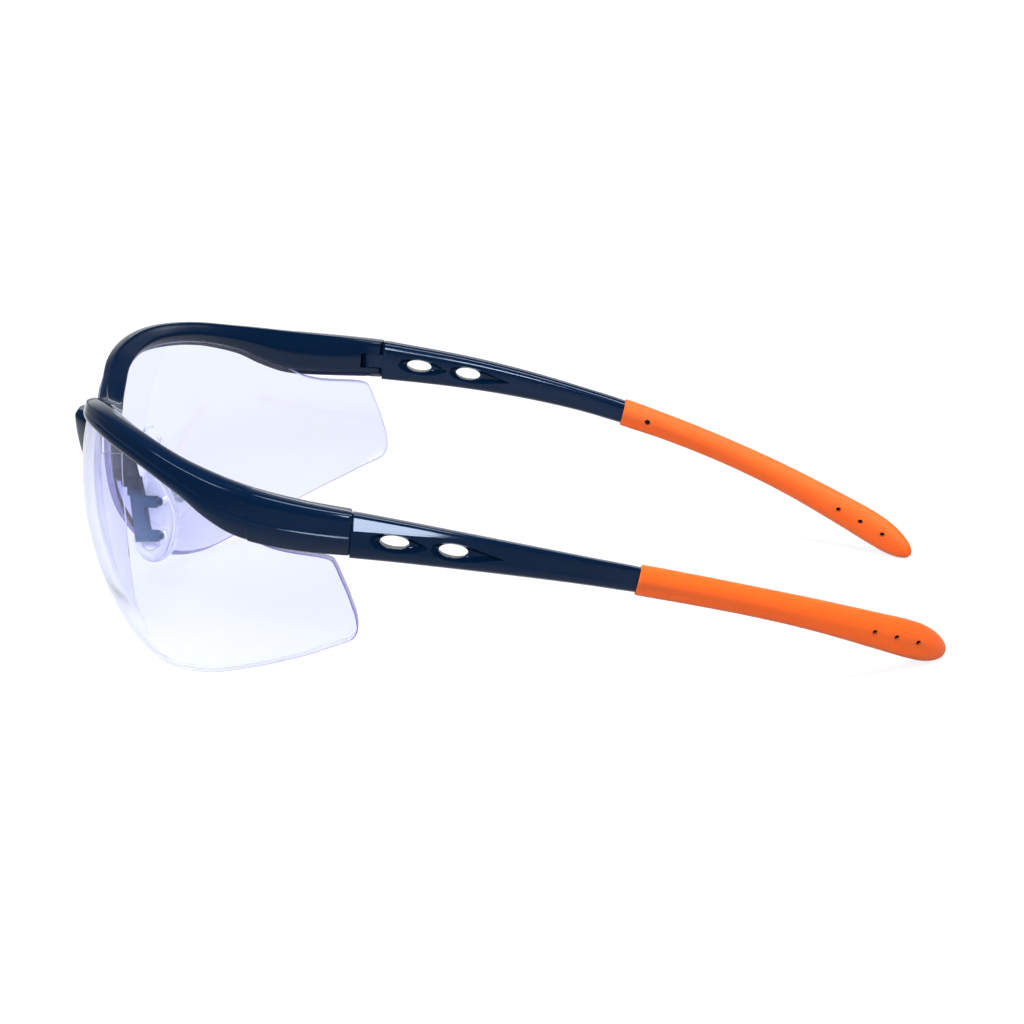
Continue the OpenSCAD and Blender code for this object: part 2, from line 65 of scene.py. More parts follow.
class GlassesSizes(bpy.types.PropertyGroup):
    """The driving sizes of the glasses"""

    lens_radius: length("Lens radius", "Outer radius of each lens", 0.060)
    lens_wall: length("Lens thickness", "Thickness of each lens", 0.0022)
    lens_apart: length("Lens offset", "Lens centre from the mirror plane", 0.0096)
    lens_behind: length("Lens depth", "Lens centre behind the hinge joint", 0.0025)
    lens_drop: length("Lens drop", "Lens centre under the hinge", 0.0035)
    rim_depth: length("Nasal rim depth", "Depth of the lens rim beside the nose", 0.007)
    rim_wall: length("Nasal rim thickness", "Thickness of that rim", 0.0018)
    reader_width: length("Reader width", "Width of the reading segment", 0.028)
    reader_height: length("Reader height", "Height of the reading segment", 0.011)
    reader_wall: length("Reader step", "How far the segment stands in", 0.00012)
    groove: length("Groove", "Depth of the lens groove in the brow", 0.002)
    shield_out: length("Shield reach", "Shield in front of the lenses", 0.0034)
    shield_height: length("Shield height", "Height of the nose shield", 0.0116)
    hinge_height: length("Hinge height", "Hinge centre above the table", 0.036)
    bar_height: length("Bar height", "Height of the frame at the hinge", 0.0088)
    bar_wall: length("Bar thickness", "Thickness of the frame at the hinge", 0.0048)
    temple_length: length("Temple length", "Temple from the joint to its end", 0.1165)
    tip_start: length("Tip start", "Where the soft tip starts behind the joint", 0.054)
    pad_length: length("Pad length", "Length of a nose pad", 0.0246)
    pad_width: length("Pad width", "Width of a nose pad", 0.0122)
    pad_wall: length("Pad thickness", "Thickness of a nose pad", 0.003)
    curve_steps: IntProperty(
        name="Curve steps",
        description="Steps between two points of a profile",
        default=4,
        min=2,
        max=8,
    )


class GlassesColours(bpy.types.PropertyGroup):
    """The colours of the glasses, in linear light"""

    navy: colour("Navy", "Moulded frame and temples", (0.0011, 0.0085, 0.0275))
    # Painted haze: the carrier's navy arms are painted this lighter blue-grey, for how they look
    # through the clear pads
    arms: colour("Arms", "Thin arms of the nose piece", (0.029, 0.068, 0.13))
    orange: colour("Orange", "Soft temple tips", (0.96, 0.122, 0.008))
    lens: colour("Lens", "Tint of the clear lenses", (0.765, 0.775, 0.955))
    lens_rim: colour("Lens rim", "Tint where a lens is seen along its surface", (0.3, 0.32, 0.52))
    lens_corner: colour("Lens corner", "Front corner of the lens edge", (0.12, 0.1, 0.36))
    lens_edge: colour("Lens edge", "Cut edge of the lenses", (0.48, 0.46, 0.8))
    silicone: colour("Silicone", "Clear nose pads", (0.88, 0.885, 0.945))
    steel: colour("Steel", "Hinge pins", (0.45, 0.45, 0.47))
    floor: colour("Floor", "Floor under the glasses", (0.25, 0.25, 0.25))


# Places in millimetres, turns in degrees
LENS_TURN = 43
HINGE_LEAN = 5.4
PIN_BACK = 3.0
PIN_INSET = 1.8
READER_PLACE = (22.5, -23.5)
PAD_PLACE = (11.6, 14.6, -11.7)
PAD_TURNS = (("Z", -33), ("Y", -11), ("X", 7))


def turned(degrees, axis):
    return Matrix.Rotation(math.radians(degrees), 4, axis)


def layout():
    """The driving sizes in millimetres, with the places that follow from them.

    Y counts from the hinge joint here, and to_frame() moves a finished shape into the shared frame.
    """
    sizes = bpy.context.scene.glasses_sizes
    v = SimpleNamespace(steps=sizes.curve_steps)
    for name in GlassesSizes.__annotations__:
        if name != "curve_steps":
            setattr(v, name, getattr(sizes, name) / MM)
    v.centre = Vector((v.lens_apart, v.lens_behind, v.hinge_height - v.lens_drop))
    v.lens_front = v.lens_behind - v.lens_radius
    v.bar_x = v.lens_apart + v.lens_radius
    v.bar_out = v.bar_wall / 2 - 0.1
    v.bar_in = v.bar_wall - v.bar_out
    v.middle = -math.degrees(math.asin(v.lens_apart / v.lens_radius))
    v.shift = (v.lens_front - v.shield_out + v.temple_length) / 2
    v.axis = math.radians(LENS_TURN)
    v.lean = math.radians(HINGE_LEAN)
    v.pin = Vector((v.bar_x - v.bar_in + PIN_INSET, 0, v.hinge_height))
    v.hinge = Matrix.Translation(v.pin) @ turned(-HINGE_LEAN, "X")
    v.hinge = v.hinge @ Matrix.Translation((0, -PIN_BACK, 0))
    v.lens_frame = Matrix.Translation(v.centre) @ turned(LENS_TURN, "Z") @ turned(90, "X")
    aside, down = READER_PLACE
    v.reader_centre = Vector((v.lens_apart + aside, v.centre.z + down))
    x, y, z = PAD_PLACE
    v.pad_frame = Matrix.Translation((x, v.lens_front + y, v.hinge_height + z))
    for axis, degrees in PAD_TURNS:
        v.pad_frame = v.pad_frame @ turned(degrees, axis)
    return v


# Curves


def smooth(knots, x):
    """A smooth value through a few (position, value) knots."""
    last = len(knots) - 1
    i = 0
    while i < last - 1 and x >= knots[i + 1][0]:
        i += 1

    def slope(k):
        a, b = knots[max(0, k - 1)], knots[min(last, k + 1)]
        return (b[1] - a[1]) / (b[0] - a[0])

    width = knots[i + 1][0] - knots[i][0]
    u = min(1, max(0, (x - knots[i][0]) / width))
    start = (2 * u**3 - 3 * u**2 + 1) * knots[i][1] + (u**3 - 2 * u**2 + u) * width * slope(i)
    return start + (3 * u**2 - 2 * u**3) * knots[i + 1][1] + (u**3 - u**2) * width * slope(i + 1)


def curve(points, steps, closed=False):
    """A smooth curve through a few points."""
    points = [Vector(p) for p in points]
    count = len(points)
    made = []
    for i in range(count if closed else count - 1):
        if closed:
            a, b, c, d = (points[(i + k) % count] for k in (-1, 0, 1, 2))
        else:
            a, b, c, d = (points[max(0, min(count - 1, i + k))] for k in (-1, 0, 1, 2))
        for k in range(steps):
            u = k / steps
            bend = (2 * a - 5 * b + 4 * c - d) * u**2 + (3 * b - a - 3 * c + d) * u**3
            made.append(0.5 * (2 * b + (c - a) * u + bend))
    return made if closed else made + [points[-1]]


def steps_between(start, end, count):
    return [start + (end - start) * k / count for k in range(count + 1)]


# Mesh tools


def ring_shape(points):
    """A new mesh with one closed ring of edges through the points."""
    bm = bmesh.new()
    ring = bmesh.ops.create_circle(bm, segments=len(points), radius=1)["verts"]
    for vert, point in zip(ring, points):
        vert.co = point
    return bm, ring


def extend(bm, ring, edges, points):
    """Extrudes a ring of edges to new points, and returns the new ring and its edges."""
    made = bmesh.ops.extrude_edge_only(bm, edges=edges)["geom"]
    fresh = {g for g in made if isinstance(g, bmesh.types.BMVert)}
    edges = [g for g in made if isinstance(g, bmesh.types.BMEdge) and fresh.issuperset(g.verts)]
    moved = []
    for vert in ring:
        nearby = (edge.other_vert(vert) for edge in vert.link_edges)
        moved.append(next(other for other in nearby if other in fresh))
    for vert, point in zip(moved, points):
        vert.co = point
    return moved, edges


def loft(rings):
    """A closed shape through rings of points that all have the same count."""
    bm, ring = ring_shape(rings[0])
    edges = bm.edges[:]
    for points in rings[1:]:
        ring, edges = extend(bm, ring, edges, points)
    bmesh.ops.holes_fill(bm, edges=bm.edges[:], sides=0)
    bmesh.ops.recalc_face_normals(bm, faces=bm.faces[:])
    return bm


def block(low, high):
    """A box between two corners."""
    bm = bmesh.new()
    bmesh.ops.create_cube(bm, size=1)
    low, high = Vector(low), Vector(high)
    for vert in bm.verts:
        vert.co = Vector(a + (b - a) * (c + 0.5) for a, b, c in zip(low, high, vert.co))
    return bm


def rod(radius, low, high, segments=40):
    """A cylinder along Z."""
    bm = bmesh.new()
    bmesh.ops.create_cone(
        bm, cap_ends=True, segments=segments, radius1=radius, radius2=radius, depth=high - low
    )
    bmesh.ops.translate(bm, verts=bm.verts[:], vec=(0, 0, (low + high) / 2))
    return bm


def placed(bm, matrix):
    bmesh.ops.transform(bm, matrix=matrix, verts=bm.verts[:])
    return bm


def mirrored(bm):
    """A copy on the other side of the mirror plane, with its faces still pointing outwards."""
    other = bm.copy()
    bmesh.ops.scale(other, vec=(-1, 1, 1), verts=other.verts[:])
    bmesh.ops.reverse_faces(other, faces=other.faces[:])
    return other


def shown(name, data):
    """A new object in the scene."""
    piece = bpy.data.objects.new(name, data)
    bpy.context.scene.collection.objects.link(piece)
    return piece


def mesh_object(name, bm):
    """A new object with a shape as its mesh. The shape itself is freed."""
    mesh = bpy.data.meshes.new(name)
    bm.to_mesh(mesh)
    bm.free()
    return shown(name, mesh)


def combine(bm, others, operation="DIFFERENCE"):
    """The shape with the others cut out of it or, with UNION, joined to it."""
    target = mesh_object("target", bm)
    tools = [mesh_object("tool", other) for other in others]
    for tool in tools:
        step = target.modifiers.new("step", "BOOLEAN")
        step.operation = operation
        step.solver = "MANIFOLD"
        step.object = tool
    graph = bpy.context.evaluated_depsgraph_get()
    mesh = bpy.data.meshes.new_from_object(target.evaluated_get(graph))
    result = bmesh.new()
    result.from_mesh(mesh)
    bpy.data.meshes.remove(mesh)
    for piece in [target, *tools]:
        data = piece.data
        bpy.data.objects.remove(piece)
        bpy.data.meshes.remove(data)
    return result


def cut_along(bm, point, normal, **options):
    """Cuts the edges and faces of a shape along a plane."""
    whole = bm.verts[:] + bm.edges[:] + bm.faces[:]
    return bmesh.ops.bisect_plane(bm, geom=whole, plane_co=point, plane_no=normal, **options)


JOINT_GAP = 0.01
JOINT_EDGE = 0.28


def cut_at_joint(bm, v, side):
    """Cuts a shape off at its side of the joint, frame (-1) or temple (1), and breaks the edge."""
    point = Vector((0, side * JOINT_GAP, v.hinge_height))
    normal = Vector((0, -side * math.cos(v.lean), side * math.sin(v.lean)))

    def near(vert, reach):
        return abs((vert.co - point).dot(normal)) < reach

    made = cut_along(bm, point, normal, clear_outer=True)
    cut = [g for g in made["geom_cut"] if isinstance(g, bmesh.types.BMEdge)]
    bmesh.ops.holes_fill(bm, edges=cut, sides=0)
    beside = [vert for vert in bm.verts if near(vert, 1.5 * JOINT_EDGE)]
    bmesh.ops.remove_doubles(bm, verts=beside, dist=0.06)
    cut = [edge for edge in bm.edges if all(near(vert, 0.001) for vert in edge.verts)]
    bmesh.ops.bevel(
        bm, geom=cut, offset=JOINT_EDGE, segments=2, profile=0.5, affect="EDGES", material=-1
    )


def grid_patch(outline, cell):
    """A flat face of that outline, cut into a grid of cells."""
    bm = bmesh.new()
    face = bm.faces.new([bm.verts.new((p[0], p[1], 0)) for p in outline])
    face.normal_update()
    if face.normal.z < 0:
        face.normal_flip()
    for axis, normal in ((0, (1, 0, 0)), (1, (0, 1, 0))):
        low, high = min(p[axis] for p in outline), max(p[axis] for p in outline)
        for k in range(1, int((high - low) / cell)):
            point = [0, 0, 0]
            point[axis] = low + k * cell
            cut_along(bm, point, normal, dist=0.0005)
    return bm


def plate(outline, rings, place, cell):
    """A closed plate: a grid on each side and an edge through rings of (outward, depth).

    place(x, y, depth) says where a point of the outline's plane goes.
    """
    bm = grid_patch(outline, cell)
    back = bm.copy()
    start = next(e for e in bm.edges if e.is_boundary)
    loop = start.link_loops[0]
    ring = []
    while loop.vert not in ring[:1]:
        ring.append(loop.vert)
        loop = loop.link_loop_next
        while not loop.edge.is_boundary:
            loop = loop.link_loop_radial_next.link_loop_next
    flat = [v.co.copy() for v in ring]
    count = len(flat)
    normals = []
    for i in range(count):
        along = flat[(i + 1) % count] - flat[i - 1]
        normals.append(Vector((along.y, -along.x, 0)).normalized())
    for vert in bm.verts:
        vert.co = place(vert.co.x, vert.co.y, rings[0][1])
    edges = [e for e in bm.edges if e.is_boundary]
    for outward, depth in rings[1:]:
        points = []
        for p, n in zip(flat, normals):
            points.append(place(p.x + n.x * outward, p.y + n.y * outward, depth))
        ring, edges = extend(bm, ring, edges, points)
    for vert in back.verts:
        vert.co = place(vert.co.x, vert.co.y, rings[-1][1])
    bmesh.ops.reverse_faces(back, faces=back.faces[:])
    mesh = bpy.data.meshes.new("back")
    back.to_mesh(mesh)
    back.free()
    bm.from_mesh(mesh)
    bpy.data.meshes.remove(mesh)
    bmesh.ops.remove_doubles(bm, verts=bm.verts[:], dist=0.002)
    bmesh.ops.recalc_face_normals(bm, faces=bm.faces[:])
    return bm


def rounded(radius, depth, steps=3):
    """Rings of (outward, depth) for an edge with both of its corners rounded."""
    turns = [math.radians(90 * k / steps) for k in range(steps + 1)]
    front = [(radius * math.sin(t), radius * (1 - math.cos(t))) for t in turns]
    return front + [(out, depth - down) for out, down in reversed(front)]


def to_frame(bm, v):
    """From millimetres behind the hinge joint to metres in the shared frame."""
    return placed(bm, Matrix.Scale(MM, 4) @ Matrix.Translation((0, -v.shift, 0)))


SHARP_ANGLE = 32


def make_piece(name, bm, materials, body, replaces):
    """Turns a shape into a piece of the glasses that rides on a body."""
    piece = mesh_object(name, bm)
    for material in materials:
        piece.data.materials.append(material)
    piece.data.shade_smooth()
    piece.data.set_sharp_from_angle(angle=math.radians(SHARP_ANGLE))
    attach(piece, body)
    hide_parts(*replaces)
    return piece


def make_pair(bm, v, node, name, materials, body="front"):
    """Turns a left shape into the pieces of both sides.

    The braces stand in name for the node that a piece replaces, and in body for its side.
    """
    left = to_frame(bm, v)
    pieces = []
    for side, shape in (("left", left), ("right", mirrored(left))):
        replaced = node + "_" + side
        title, carrier = name.format(replaced), body.format(side)
        pieces.append(make_piece(title, shape, materials, carrier, [replaced]))
    return pieces


def dress(node, material):
    """Gives a node of the frame its finish."""
    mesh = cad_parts[node].data
    mesh.materials.clear()
    mesh.materials.append(material)


# Shader nodes


def wire(node, *ordered, **named):
    """Sets or links the inputs of a node, in order or by name, with _ for a space."""
    pairs = list(zip(node.inputs, ordered))
    pairs += [(node.inputs[name.replace("_", " ")], value) for name, value in named.items()]
    for socket, value in pairs:
        if isinstance(value, bpy.types.NodeSocket):
            node.id_data.links.new(value, socket)
        else:
            socket.default_value = value
    return node


def add(tree, kind, *ordered, **named):
    """A new shader node with its inputs set or linked."""
    return wire(tree.nodes.new("ShaderNode" + kind), *ordered, **named)


def combined(tree, operation, *values):
    """A math node over sockets and numbers."""
    node = tree.nodes.new("ShaderNodeMath")
    node.operation = operation
    return wire(node, *values).outputs[0]


def faded(tree, value, near, far):
    """0 where the value is near or before it, rising softly to 1 at far."""
    fade = tree.nodes.new("ShaderNodeMapRange")
    fade.interpolation_type = "SMOOTHSTEP"
    return wire(fade, Value=value, From_Min=near, From_Max=far).outputs["Result"]


def blended(tree, factor, a, b):
    """A colour between two others."""
    mix = tree.nodes.new("ShaderNodeMix")
    mix.data_type = "RGBA"
    return wire(mix, Factor=factor, A=a, B=b).outputs["Result"]


def relief(tree, height, strength):
    """The normal of a relief of at most a tenth of a millimetre."""
    return add(tree, "Bump", Strength=strength, Distance=0.0001, Height=height).outputs["Normal"]


def split_place(tree, coordinates):
    """Texture coordinates, whole and split into X, Y and Z."""
    place = add(tree, "TexCoord").outputs[coordinates]
    return place, add(tree, "SeparateXYZ", place).outputs


def emptied(owner):
    """The node tree of a material or world, without its nodes."""
    owner.use_nodes = True
    owner.node_tree.nodes.clear()
    return owner.node_tree


# Materials


def colours():
    return bpy.context.scene.glasses_colours


def moulded_skin():
    """The shader group for a moulded surface: its fine texture and soft unevenness."""
    group = bpy.data.node_groups.get("Moulded skin")
    if group:
        return group
    group = bpy.data.node_groups.new("Moulded skin", "ShaderNodeTree")
    inputs = {"Colour": "Color", "Roughness": "Float", "Spread": "Float", "Grain size": "Float"}
    outputs = {"Colour": "Color", "Roughness": "Float", "Height": "Float"}
    for way, sockets in (("INPUT", inputs), ("OUTPUT", outputs)):
        for name, kind in sockets.items():
            kind = "NodeSocket" + kind
            group.interface.new_socket(name=name, in_out=way, socket_type=kind)
    source = group.nodes.new("NodeGroupInput").outputs
    sink = group.nodes.new("NodeGroupOutput")
    place = add(group, "TexCoord").outputs["Object"]
    grain = add(group, "TexNoise", Vector=place, Scale=source["Grain size"], Detail=4)
    flow = add(group, "TexNoise", Vector=place, Scale=45, Detail=2)
    span = add(group, "MapRange", Value=flow.outputs["Fac"], To_Min=-1, To_Max=1)
    uneven = span.outputs["Result"]
    rough = combined(group, "MULTIPLY_ADD", uneven, source["Spread"], source["Roughness"])
    bright = combined(group, "MULTIPLY_ADD", uneven, 0.08, 1)
    tone = add(group, "HueSaturation", Value=bright, Color=source["Colour"])
    wire(sink, Colour=tone.outputs["Color"], Roughness=rough, Height=grain.outputs["Fac"])
    return group


def new_material(name):
    """A node material with only its Principled shader and its output."""
    material = bpy.data.materials.get(name) or bpy.data.materials.new(name)
    tree = emptied(material)
    shader = add(tree, "BsdfPrincipled")
    output = add(tree, "OutputMaterial", Surface=shader.outputs["BSDF"])
    return material, tree, shader, output


def skin_on(tree, shader, base, roughness, spread, grain, bump):
    """Feeds a shader from the moulded skin group, and returns the group's colour."""
    skin = tree.nodes.new("ShaderNodeGroup")
    skin.node_tree = moulded_skin()
    wire(skin, Colour=(*base, 1), Roughness=roughness, Spread=spread, Grain_size=grain)
    wire(shader, Base_Color=skin.outputs["Colour"], Roughness=skin.outputs["Roughness"])
    wire(shader, Normal=relief(tree, skin.outputs["Height"], bump))
    return skin.outputs["Colour"]


# Heights over the table across which the painted haze fades in on the carrier's arms
ARM_HAZE_TOP = 0.0285
ARM_HAZE_FULL = 0.0265


def gloss_plastic(name="Navy plastic", arms=None):
    """Dark moulded plastic with a satin gloss. With arms it is painted lighter below a height:
    painted haze, for the navy arms seen through the clear pads.
    """
    material, tree, shader, _ = new_material(name)
    skin = skin_on(tree, shader, colours().navy, 0.12, 0.03, 2600, 0.03)
    wire(shader, IOR=1.5, Specular_IOR_Level=0.24, Specular_Tint=(0.74, 0.84, 1, 1))
    if arms:
        _, where = split_place(tree, "Object")
        fade = add(tree, "MapRange", Value=where["Z"], From_Min=ARM_HAZE_TOP, From_Max=ARM_HAZE_FULL)
        wire(shader, Base_Color=blended(tree, fade.outputs["Result"], skin, (*arms, 1)))
    return material


CORE_SHOWING = (0.5, 0.085, 0.02, 1)


def soft_orange():
    """Soft-touch orange rubber that lets the dark core show faintly through."""
    material, tree, shader, _ = new_material("Soft orange")
    skin = skin_on(tree, shader, colours().orange, 0.5, 0.05, 3000, 0.08)
    shade = tree.nodes.new("ShaderNodeAttribute")
    shade.attribute_name = "core_shadow"
    wire(
        shader,
        Base_Color=blended(tree, shade.outputs["Fac"], skin, CORE_SHOWING),
        Specular_IOR_Level=0.2,
        Sheen_Weight=0.16,
        Sheen_Roughness=0.5,
        Sheen_Tint=(1, 0.66, 0.4, 1),
        Subsurface_Weight=0.35,
        Subsurface_Radius=(1, 0.3, 0.1),
        Subsurface_Scale=0.003,
    )
    return material


LAMPLIGHT_THROUGH = (0.93, 0.94, 0.98, 1)


def let_lamps_through(tree, shader, output):
    """Light from lamps passes clear pieces, so that what lies behind them isn't in deep shadow."""
    shadow = add(tree, "LightPath").outputs["Is Shadow Ray"]
    clear = add(tree, "BsdfTransparent", Color=LAMPLIGHT_THROUGH)
    mix = add(tree, "MixShader", shadow, shader.outputs["BSDF"], clear.outputs["BSDF"])
    wire(output, Surface=mix.outputs["Shader"])


RIM_FADE = (0.68, 0.95)


def clear_material(name, base, roughness, ior, bump, grain, clarity=1.0, rim=None):
    """Clear moulded plastic or silicone, with a faint unevenness.

    With rim it takes on that tint where the view runs along its surface.
    """
    material, tree, shader, output = new_material(name)
    ripple = add(tree, "TexNoise", Vector=add(tree, "TexCoord").outputs["Object"], Scale=grain)
    wire(shader, Base_Color=(*base, 1), Roughness=roughness, IOR=ior, Transmission_Weight=clarity)
    wire(shader, Normal=relief(tree, ripple.outputs["Fac"], bump))
    if rim:
        turn = faded(tree, add(tree, "LayerWeight").outputs["Facing"], *RIM_FADE)
        wire(shader, Base_Color=blended(tree, turn, (*base, 1), (*rim, 1)))
    let_lamps_through(tree, shader, output)
    return material


LENS_IOR = 1.36
SILICONE_IOR = 1.32


def lens_finishes():
    """The finishes of a lens: its faces, their corners and the cut edge."""
    tints = colours()
    return [
        clear_material("Clear lens", tints.lens, 0, LENS_IOR, 0.02, 60, rim=tints.lens_rim),
        clear_material("Lens corner", tints.lens_corner, 0.3, LENS_IOR, 0.1, 500, clarity=0.5),
        clear_material("Lens edge", tints.lens_edge, 0.35, LENS_IOR, 0.1, 500, clarity=0.3),
    ]


def silicone():
    tint = colours().silicone
    return clear_material("Clear silicone", tint, 0.1, SILICONE_IOR, 0.15, 300, clarity=0.78)


def pin_steel():
    """Plain steel with fine marks."""
    material, tree, shader, _ = new_material("Pin steel")
    skin_on(tree, shader, colours().steel, 0.3, 0.08, 4000, 0.1)
    wire(shader, Metallic=1)
    return material


# Brow, shield and post


BRIDGE_LOW = 3.4


def brow_knots(v):
    """Heights over the hinge centre and offsets from the lens surface, by azimuth."""
    m = v.middle
    wall = v.lens_wall + 1.1
    return SimpleNamespace(
        top=[
            (m, 8.2), (0, 10.9), (12, 14), (25, 15.3), (40, 13.8), (55, 10.5), (70, 7.3),
            (90, v.bar_height / 2 - 0.3),
        ],
        low=[
            (m, BRIDGE_LOW), (0, 7.4), (12, 10.2), (25, 10.7), (36, 9.6), (44, 8), (50, 6.1),
            (55, 4.1), (60, 1.2), (66, -1.5), (74, -3), (90, 0.2 - v.bar_height / 2),
        ],
        out=[(m, -0.3), (0, -0.2), (8, 0.9), (20, 1.9), (45, 2.2), (90, v.bar_out)],
        inner=[
            (m, 5.4), (0, 5.2), (8, 4.3), (25, wall), (75, wall), (86, v.bar_in), (90, v.bar_in),
        ],
        ridge=[
            (m, 2.2), (0, 1.6), (12, 0.8), (45, 0.8), (60, 1.3), (75, 1.8), (90, v.bar_in - 0.3),
        ],
        crease=[(m, 0), (60, 0), (72, 0.5), (90, 0.9)],
    )


PANEL_AZIMUTH = 69
PANEL_STEP = 0.4
BROW_END = 93


def brow_ring(v, knots, azimuth):
    """One ring round the brow, through the points of its profile."""
    raised = PANEL_STEP if azimuth > PANEL_AZIMUTH else 0
    o = smooth(knots.out, azimuth) + raised
    c = smooth(knots.crease, azimuth)
    i = smooth(knots.inner, azimuth)
    r = smooth(knots.ridge, azimuth)
    low = v.hinge_height + smooth(knots.low, azimuth)
    high = v.hinge_height + smooth(knots.top, azimuth)
    profile = [
        (0.3 - 0.3 * i, 0), (o - 0.9 - c, 0), (o - 0.3 - c, 0.07), (o - 0.4 * c, 0.25),
        (o, 0.42), (o - 0.02 * c, 0.432), (o - 0.48 * c, 0.465), (o - 0.5 * c, 0.5),
        (o - 0.02 - 0.45 * c, 0.7), (o - 0.08 - 0.38 * c, 0.87), (o - 0.85, 0.97),
        ((o - 1 - r) / 2, 1), (0.4 - r, 0.98),
        (-r, 0.91), (-(i + r) / 2, 0.76), (-i, 0.55), (-i, 0.3), (0.5 - i, 0.16),
    ]
    a = math.radians(azimuth)
    points = []
    for offset, share in profile:
        z = low + (high - low) * share
        radius = math.sqrt(v.lens_radius**2 - (z - v.centre.z) ** 2) + offset
        points.append((v.centre.x + radius * math.sin(a), v.centre.y - radius * math.cos(a), z))
    return curve(points, v.steps, closed=True)


def brow_shape(v):
    """The brow from one hinge to the other, a little longer than it ends up."""
    knots = brow_knots(v)
    azimuths = steps_between(v.middle + 1.2, PANEL_AZIMUTH - 0.35, 62)
    azimuths += steps_between(PANEL_AZIMUTH + 0.05, BROW_END, 24)
    side = [brow_ring(v, knots, a) for a in azimuths]
    middle = [Vector((0, p.y, p.z)) for p in brow_ring(v, knots, v.middle)]
    other = [[Vector((-p.x, p.y, p.z)) for p in ring] for ring in reversed(side)]
    return loft(other + [middle] + side)


SHIELD_TOP = 6.5


def shield_shape(v):
    """The V-shaped shield over the nose, rounded at its top and pointed below."""
    top = v.hinge_height + SHIELD_TOP
    rows = [
        (0, 0.9, 0.29, -0.1), (0.13, 1.9, 0.45, -0.3), (0.5, 4, 0.71, -0.4),
        (0.82, 5.4, 0.82, -1), (0.92, 5.4, 0.78, -2), (1, 4.4, 0.58, -2.2),
    ]
    plan = [
        (-1, 0.8), (-0.92, 0.6), (-0.35, 0.07), (0, 0), (0.35, 0.07), (0.92, 0.6), (1, 0.8),
        (0.6, 1), (-0.6, 1),
    ]
    rings = []
    for share, wide, reach, back in curve(rows, v.steps):
        front = v.lens_front - v.shield_out * reach
        rear = v.lens_front - back
        z = top - v.shield_height * (1 - share)
        ring = [(wide * x, front + (rear - front) * y, z) for x, y in plan]
        rings.append(curve(ring, v.steps, closed=True))
    return loft(rings)


POST_PLACE = 4.3
POST_WALL = 2
POST_HALF = 4.6
POST_DROP = 12


def post_shape(v):
    """The post that hangs from the bridge behind the lenses."""
    low = v.hinge_height + BRIDGE_LOW - POST_DROP
    front = v.lens_front + POST_PLACE
    back = front + POST_WALL
    half = POST_HALF
    rounded_end = [
        (-half, low + 4), (-half + 0.5, low + 1.2), (-half + 1.8, low + 0.1), (0, low),
        (half - 1.8, low + 0.1), (half - 0.5, low + 1.2), (half, low + 4),
    ]
    outline = curve(rounded_end, 4) + [Vector((half, low + 13)), Vector((-half, low + 13))]
    steps = ((front, 0.35), (front + 0.12, 0.1), (front + 0.4, 0), (back - 0.3, 0), (back, 0.25))
    rings = []
    for y, inset in steps:
        wide, high = 1 - inset / half, 1 - inset / 6
        rings.append([(p.x * wide, y, low + 6 + (p.y - low - 6) * high) for p in outline])
    return loft(rings)


REACH = 20.0
HINGE_GAP = 0.15
TONGUE_HEIGHT = 3.0
TONGUE_ROUND = 1.7
PIN_BORE = 0.84
BORE_TOP = 3.45


def hinge_tools(v):
    """What the frame loses at a hinge: its inner corner, the slot for the tongue and the bore."""
    turning = rod(PIN_BACK - HINGE_GAP, -1.1 * REACH, 1.1 * REACH, 64)
    corner = combine(block((-PIN_INSET - 2, 0, -REACH), (0, REACH, REACH)), [turning])
    half = TONGUE_HEIGHT / 2 + HINGE_GAP
    notch = TONGUE_ROUND + HINGE_GAP
    tools = [
        corner,
        rod(notch, -half, half),
        block((-REACH, -notch, -half), (0, REACH, half)),
        block((-REACH, 0, -half), (notch, REACH, half)),
        rod(PIN_BORE, -REACH, BORE_TOP),
    ]
    return [placed(tool, v.hinge) for tool in tools]


LENS_PLAY = 0.1


def lens_envelope(v):
    """The space that a lens takes in the groove of the brow."""
    rings = [(0, -LENS_PLAY), (0, v.lens_wall + LENS_PLAY)]
    return plate(lens_outline(v, LENS_PLAY), rings, lambda *spot: on_lens(v, *spot), cell=2)


def front_shape(v):
    """The front frame: brow, shield and post in one, with its grooves and hinge slots."""
    bm = combine(brow_shape(v), [shield_shape(v), post_shape(v)], "UNION")
    cut_at_joint(bm, v, -1)
    tools = []
    for tool in [lens_envelope(v), *hinge_tools(v)]:
        tools += [mirrored(tool), tool]
    return combine(bm, tools)


# Lenses


def on_lens(v, x, y, depth):
    """A point seen along the lens axis, on the sphere that lies depth inside the lens's front."""
    deep = math.sqrt(v.lens_radius**2 - x * x - y * y)
    return v.lens_frame @ (Vector((x, y, deep)) * (1 - depth / v.lens_radius))


NASAL_EDGE = [
    (-43.4, 2), (-42.7, -4), (-40.1, -12.5), (-35, -19.5), (-28.4, -25.9), (-20.7, -30.1),
    (-13.5, -32.05),
]
LOWER_EDGE = [(-13.5, -32.05), (-5, -32.44), (8, -30.5), (20, -26.9), (31, -22.8), (37.6, -19.7)]
TEMPLE_CORNER = [(37.6, -19.7), (39.9, -18.4), (41.2, -16.2), (41.6, -13)]
TEMPLE_EDGE = [(41.6, -13), (41.2, -8.5), (40.3, -4.2), (39.9, -2.8), (39.5, -1.9), (38.7, -1.4)]
TOP_EDGE_SPAN = (81.5, -1.5)


